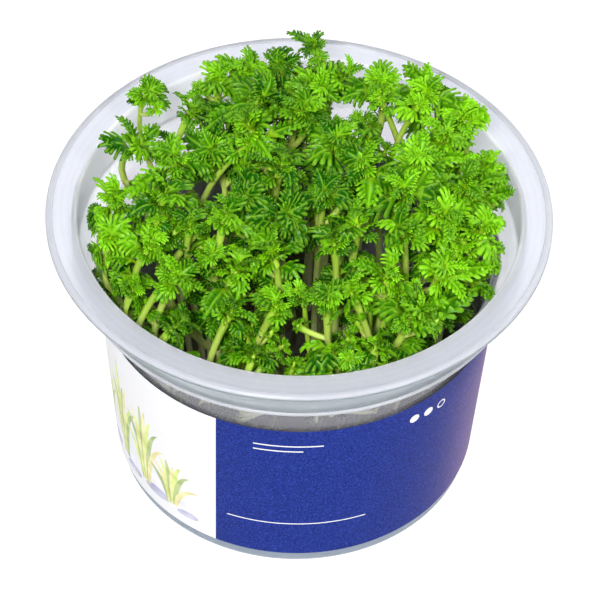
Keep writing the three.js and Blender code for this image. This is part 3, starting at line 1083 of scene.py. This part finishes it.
def hides_open_stem(points):
    """Whether points lie before one of the stems in the open, as they are seen in the photograph."""
    elevation = math.radians(CAMERA_ELEVATION_DEG)
    nearer = np.array([0, -math.cos(elevation), math.sin(elevation)])
    for start, end in map(open_stretch, (*LEANING_SHOOTS.values(), *SIDE_STEMS.values())):
        axis = end - start
        before = (points - start) @ nearer
        flat = points - start - before[:, None] * nearer
        flat_axis = axis - (axis @ nearer) * nearer
        share = flat @ flat_axis / (flat_axis @ flat_axis)
        aside = np.linalg.norm(flat - share[:, None] * flat_axis, axis=1)
        beside = (share > 0) & (share < OPEN_SHARE) & (aside < OPEN_HALF_WIDTH)
        if np.any(beside & (before > share * (axis @ nearer))):
            return True
    return False


def crown_sides(middle, size):
    """The right and the left side, the top and the underside of a crown."""
    return middle + size * np.array([(1, 0, 0), (-1, 0, 0), (0, 0, 1), (0, 0, -1)])


def solid_leaves(shoot, reach, curve, axes):
    """The six leaves that the shoot's solid has, as arcs through its two straight stretches."""
    first = vary(shoot, BEARING_TRAIT) * 2 * math.pi
    leaves = []
    for i in range(LEAVES_PER_SHOOT):
        inward = i / (LEAVES_PER_SHOOT - 1)
        length, lift, fall = (lerp(OUTER_LEAF[key], INNER_LEAF[key], inward) for key in OUTER_LEAF)
        length = length + LENGTH_SPREAD * vary(shoot, LENGTH_TRAIT + i)
        leaves.append({
            "base": stem_at(curve, lerp(CROWN_START, CROWN_END, inward)), "axes": axes,
            "bearing": first + i * GOLDEN_ANGLE, "length": SOLID_LEAF_SCALE * reach * length,
            "start": (3 * lift + fall) / 2, "end": -(3 * fall + lift) / 2,
            "kind": "feather" if vary(shoot, KIND_TRAIT + i) < FEATHER_SHARE else "fan",
            # Outer leaves darker: partly age, partly painted shade.
            "shade": lerp(0.34, 0.05, inward),
        })
    return leaves


def rosette(rng, middle, axes, reach, count):
    """A tight whorl of curled leaves, shorter and more upright towards its middle, and brighter there, partly
    as young leaves are and partly as painted light.
    """
    first = rng.uniform(0, 2 * math.pi)
    leaves = []
    for i in range(count):
        inward = i / (count - 1)
        leaves.append({
            "base": middle - axes[:, 2] * reach * 0.5 * (1 - inward), "axes": axes,
            "bearing": first + i * GOLDEN_ANGLE + rng.uniform(-0.3, 0.3),
            "length": reach * lerp(1, 0.36, inward) * rng.uniform(0.85, 1.15),
            "start": lerp(60, 88, inward) + rng.uniform(-12, 12),
            "end": lerp(-96, 15, inward) + rng.uniform(-15, 15),
            "kind": "curled", "shade": lerp(0.14, -0.32, inward),
        })
    return leaves


def lower_leaves(rng, curve, reach, count, outward=None, stretch=LOWER_STRETCH):
    """Leaves that leave a stretch of the stem below the crown, all round or about one bearing."""
    leaves = []
    for _ in range(count):
        bearing = rng.uniform(0, 2 * math.pi) if outward is None else outward + rng.uniform(-1.1, 1.1)
        leaves.append({
            "base": stem_at(curve, rng.uniform(*stretch)), "axes": np.identity(3),
            "bearing": bearing, "length": reach * rng.uniform(0.75, 1.15),
            "start": rng.uniform(25, 75), "end": rng.uniform(-90, -20),
            # Lower leaves darker: partly age, partly painted shade under the crown.
            "kind": ("fan", "feather")[rng.integers(2)], "shade": 0.5,
        })
    return leaves


def long_leaf(curve, bearing, length, start, end):
    """One leaf that stands out of the crown, from its bearing and its angles in degrees."""
    return {
        "base": stem_at(curve, LONG_LEAF_PLACE), "axes": np.identity(3), "bearing": math.radians(bearing),
        "length": length, "start": start, "end": end, "kind": "feather", "shade": 0.1,
    }


def add_branch(growth, start, end, thickness, reach, count):
    """A side stem that rises from start to end and carries a small crown, unless it hides an open stem."""
    bend = start + (end - start) * (0.7, 0.7, 0.35)
    shares = np.linspace(0, 1, 9)
    path = curved(start, bend, end, shares[:, None])
    if hides_open_stem(np.concatenate([path, crown_sides(end, 0.6 * reach)])):
        return
    radii = thickness * necked(shares, 0.25, 0.85, 0.15, 0.7, 0.85)
    growth.add_tube(path, radii, 7, STEM, lerp(0.7, 1.0, shares))
    growth.add_crown(end, leaning_axes(path[-1] - path[-2], growth.rng), reach, count)


def add_side_stem(growth, curve, stem, reach):
    """A pale side stem that stands in the open, and the crown that it carries."""
    start = stem_at(curve, 0.3)
    low, end = open_stretch(stem)
    shares = np.linspace(0, 1, 15)
    path = curved(start, bend_through(start, low, end), end, shares[:, None])
    radii = np.full(15, growth.rng.uniform(*STEM_RADIUS_RANGE))
    growth.add_tube(path, radii, 9, STEM, lerp(0.5, 1.0, shares))
    growth.add_crown(end, leaning_axes(end - path[-3], growth.rng), reach, 12)


def add_side_crowns(growth, curve, count):
    """Short side shoots below the crown."""
    rng = growth.rng
    for _ in range(count):
        start = stem_at(curve, rng.uniform(*SIDE_SHOOT["leaves"]))
        bearing = rng.uniform(0, 2 * math.pi)
        slope = math.radians(rng.uniform(*SIDE_SHOOT["slope"]))
        across, up = math.cos(slope), math.sin(slope)
        rise = np.array([across * math.cos(bearing), across * math.sin(bearing), up])
        end = start + rng.uniform(*SIDE_SHOOT["length"]) * rise
        reach = rng.uniform(*SIDE_SHOOT["reach"])
        thickness = rng.uniform(*SIDE_SHOOT["thickness"])
        if np.hypot(end[0], end[1]) < MOUTH_RADIUS - reach and end[2] < curve["tip"][2] + 1:
            add_branch(growth, start, end, thickness, reach, rng.integers(8, 11))


def add_front_stems(growth, curve):
    """Long pale side stems of the front shoots, which lean across the dark gap inside the rim."""
    rng = growth.rng
    for _ in range(2):
        start = stem_at(curve, rng.uniform(*FRONT_STEM["leaves"]))
        end = curve["tip"] + np.array([rng.uniform(*FRONT_STEM[key]) for key in ("right", "back", "up")])
        if np.hypot(end[0], end[1]) < MOUTH_RADIUS - 6:
            thickness, reach = rng.uniform(*FRONT_STEM["thickness"]), rng.uniform(*FRONT_STEM["reach"])
            add_branch(growth, start, end, thickness, reach, 9)


def add_wall_stems(growth, curve):
    """Pale side stems of the front shoots, which press against the clear wall on their way up."""
    rng = growth.rng
    share = np.linspace(0, 1, 11)
    for _ in range(3):
        start = stem_at(curve, rng.uniform(*WALL_STEM["leaves"]))
        bearing = math.atan2(start[1], start[0]) + rng.uniform(*WALL_STEM["turn"]) * share**2
        height = lerp(start[2], rng.uniform(*WALL_STEM["top"]), share)
        radius = lerp(np.hypot(start[0], start[1]), inner_radius(height) - 0.75, np.clip(2 * share, 0, 1))
        path = np.stack([radius * np.cos(bearing), radius * np.sin(bearing), height], axis=1)
        radii = np.full(11, rng.uniform(*WALL_STEM["thickness"]))
        growth.add_tube(path, radii, 7, STEM, np.zeros(11))
        growth.add_crown(path[-1], leaning_axes(path[-1] - path[-4], rng), 3, 4, kept=False)


def add_roots(growth, curve, count):
    """Thin pale roots that hang from the lower stem."""
    rng = growth.rng
    share = np.linspace(0, 1, 9)
    for _ in range(count):
        start = stem_at(curve, rng.uniform(*ROOT_RANGES["leaves"]))
        bearing = math.atan2(start[1], start[0]) + rng.uniform(*ROOT_RANGES["turn"])
        out = np.array([math.cos(bearing), math.sin(bearing), 0])
        drop = rng.uniform(*ROOT_RANGES["drop"])
        path = start + out * (rng.uniform(*ROOT_RANGES["out"]) * np.sin(share * 1.7))[:, None]
        path[:, 2] = np.maximum(start[2] - drop * share**1.8, GEL_TOP)
        growth.add_tube(path, lerp(rng.uniform(*ROOT_RANGES["radius"]), 0.12, share), 5, ROOT, np.zeros(9))


def plan_stem(rng, x, y, over_rim):
    """The curve of a shoot's stem: near the solid's, or where the photograph shows it in the open."""
    foot = np.array([x * FOOT_SPREAD, y * FOOT_SPREAD, FOOT_HEIGHT])
    tip = np.array([x, y, CUP_HEIGHT + over_rim], dtype=float)
    bend = lerp(foot, tip, np.array([BEND_ACROSS, BEND_ACROSS, BEND_UP]))
    outward = BOW_OUTWARDS * tip[:2] / MOUTH_RADIUS
    bow = np.append(np.clip(outward + rng.normal(0, BOW_SPREAD, 2), -BOW_LIMIT, BOW_LIMIT), 0)
    bend += rng.normal(0, 1, 3) * (SWAY_ACROSS, SWAY_DEPTH, 0)
    if y < OPEN_MIDDLE:
        bend[0] -= FRONT_LEAN
    if (x, y) in LEANING_SHOOTS:
        low, tip = open_stretch(LEANING_SHOOTS[x, y])
        bend, bow = bend_through(foot, low, tip), np.zeros(3)
    return {"foot": foot, "bend": bend, "tip": tip, "bow": bow}


def grow_shoot(shoot, entry, templates):
    """One shoot: stem, crown, side crowns, lower leaves and roots."""
    rng = np.random.default_rng(SEED + shoot)
    x, y, over_rim, reach = entry
    tone = MIDDLE_TONE + (SIDE_TONE * abs(x) + RIGHT_TONE * x) / MOUTH_RADIUS + rng.uniform(*SHOOT_TONE_RANGE)
    in_front = y < OPEN_MIDDLE
    by_the_wall = y < 0 and math.hypot(x, y) > BY_THE_WALL
    in_the_open = x < OPEN_LEFT and y > OPEN_LEFT_FRONT
    fullness = 2 if in_front else 4
    if in_the_open:
        fullness = 1
    growth = Growth(rng, templates, tone + FRONT_TONE if in_front else tone)
    curve = plan_stem(rng, x, y, over_rim)
    tip = curve["tip"]

    shares = np.concatenate([np.linspace(0, 0.86, 18), np.linspace(0.88, 1.0, 9)])
    path = stem_at(curve, shares)
    path[0, 2] -= 0.8
    radii = rng.uniform(*STEM_RADIUS_RANGE) * necked(shares, 0.22, 0.95, 0.04, 0.8, 0.955)
    growth.add_tube(path, radii, 9, STEM, shares)

    axes = leaning_axes(stem_at(curve, 1) - stem_at(curve, 0.97), rng)
    scale = SMALL_CROWNS.get((x, y), 1)
    leaves = solid_leaves(shoot, reach * scale, curve, axes)
    spread = lerp(*CROWN_SPREAD, (x + MOUTH_RADIUS) / (2 * MOUTH_RADIUS)) * scale
    crown = reach * spread * rng.uniform(*CROWN_SHARE)
    if (x, y) not in LEANING_SHOOTS and hides_open_stem(crown_sides(tip, 0.5 * crown)):
        crown *= HIDING_CROWN_SCALE
    growth.add_crown(tip, axes, crown, CROWN_LEAVES)
    leaves += lower_leaves(rng, curve, reach, rng.integers(fullness - 1, 2 * fullness + 1))
    if by_the_wall:
        leaves += lower_leaves(rng, curve, reach * 1.2, 5, math.atan2(y, x))
    if in_front:
        leaves += lower_leaves(rng, curve, reach * 0.85, 8, stretch=FRONT_STRETCH)
    if rng.random() < LONG_LEAF_SHARE:
        leaves.append(long_leaf(curve, rng.uniform(0, 360), reach * rng.uniform(1.3, 1.6), 40, -35))
    if (x, y) in SIDE_STEMS:
        add_side_stem(growth, curve, SIDE_STEMS[x, y], reach * 0.75)
    if (x, y) in LONG_LEAVES:
        leaves.append(long_leaf(curve, *LONG_LEAVES[x, y]))
    for leaf in leaves:
        growth.add_leaf(leaf)
    add_side_crowns(growth, curve, rng.integers(min(fullness, 3) - in_the_open, fullness + 2 - in_the_open))
    if by_the_wall and x > 0:
        add_side_crowns(growth, curve, 3)
    if y < OPEN_FRONT:
        add_front_stems(growth, curve)
        add_wall_stems(growth, curve)
    else:
        add_roots(growth, curve, rng.integers(0, 3))
    return growth


def add_shoots():
    """Every shoot as one mesh, in place of its solid."""
    rng = np.random.default_rng(SEED)
    templates = {
        name: [leaf_template(rng, dict(zip(LEAF_KEYS, values)), VEIN_PLACES[name]) for values in kinds]
        for name, kinds in LEAF_KINDS.items()
    }
    materials = [leaf_material(), stem_material(), root_material()]
    nodes = sorted(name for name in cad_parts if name.startswith("shoot_"))
    for shoot, (node, entry) in enumerate(zip(nodes, GROWING_TIPS, strict=True)):
        growth = grow_shoot(shoot, entry, templates)
        points, triangles = np.concatenate(growth.points), np.concatenate(growth.triangles).tolist()
        piece = add_piece(node.replace("shoot", "featherfoil"), points, triangles, materials, node,
                          np.concatenate(growth.kinds), smooth_deg=60)
        values = np.concatenate(growth.values, axis=1)
        for name, column in zip(("along", "rib", "tone", "under"), values):
            layer = piece.data.attributes.new(name, "FLOAT", "POINT")
            layer.data.foreach_set("value", column.astype(np.float32))


# Camera, lamps and floor


def add_camera():
    elevation, roll = math.radians(CAMERA_ELEVATION_DEG), math.radians(CAMERA_ROLL_DEG)
    back = Vector((0, -math.cos(elevation), math.sin(elevation)))
    right = Vector((1, 0, 0))
    up = back.cross(right)
    rolled_right = math.cos(roll) * right + math.sin(roll) * up
    rolled_up = math.cos(roll) * up - math.sin(roll) * right
    axes = Matrix((rolled_right, rolled_up, back)).transposed()
    place = Vector(CAMERA_TARGET) * MM + back * CAMERA_DISTANCE * MM
    data = bpy.data.cameras.new("camera")
    data.lens = CAMERA_LENS
    data.sensor_width = SENSOR_WIDTH
    camera = bpy.data.objects.new("camera", data)
    camera.matrix_world = Matrix.Translation(place) @ axes.to_4x4()
    bpy.context.scene.collection.objects.link(camera)
    bpy.context.scene.camera = camera


def add_lamp(name, place, size, power):
    data = bpy.data.lights.new(name, "AREA")
    data.shape = "DISK"
    data.size = size
    data.energy = power
    lamp = bpy.data.objects.new(name, data)
    lamp.location = place
    lamp.rotation_mode = "QUATERNION"
    lamp.rotation_quaternion = (Vector(LAMP_TARGET) - Vector(place)).to_track_quat("-Z", "Y")
    bpy.context.scene.collection.objects.link(lamp)


def add_studio():
    """A pale floor, an even bright surround and three soft lamps."""
    scene = bpy.context.scene
    world = bpy.data.worlds.new("surround")
    world.use_nodes = True
    background = world.node_tree.nodes["Background"].inputs
    background["Color"].default_value = SURROUND_COLOR
    background["Strength"].default_value = SURROUND_STRENGTH
    scene.world = world
    for name, lamp in LAMPS.items():
        add_lamp(name, **lamp)
    scene.view_settings.view_transform = "Standard"
    mesh = bpy.data.meshes.new("floor")
    half = FLOOR_HALF_WIDTH
    corners = [(-half, -half, 0), (half, -half, 0), (half, half, 0), (-half, half, 0)]
    mesh.from_pydata(corners, [], [(0, 1, 2, 3)])
    floor = bpy.data.objects.new("floor", mesh)
    scene.collection.objects.link(floor)
    mesh.materials.append(Finish("pale_floor", {
        "Base Color": (0.12, 0.12, 0.12, 1), "Roughness": 0.9, "Specular IOR Level": 0,
        "Emission Color": (1, 1, 1, 1), "Emission Strength": 0.96,
    }).material)


add_camera()
add_studio()
add_cup()
add_label()
add_gel()
add_shoots()
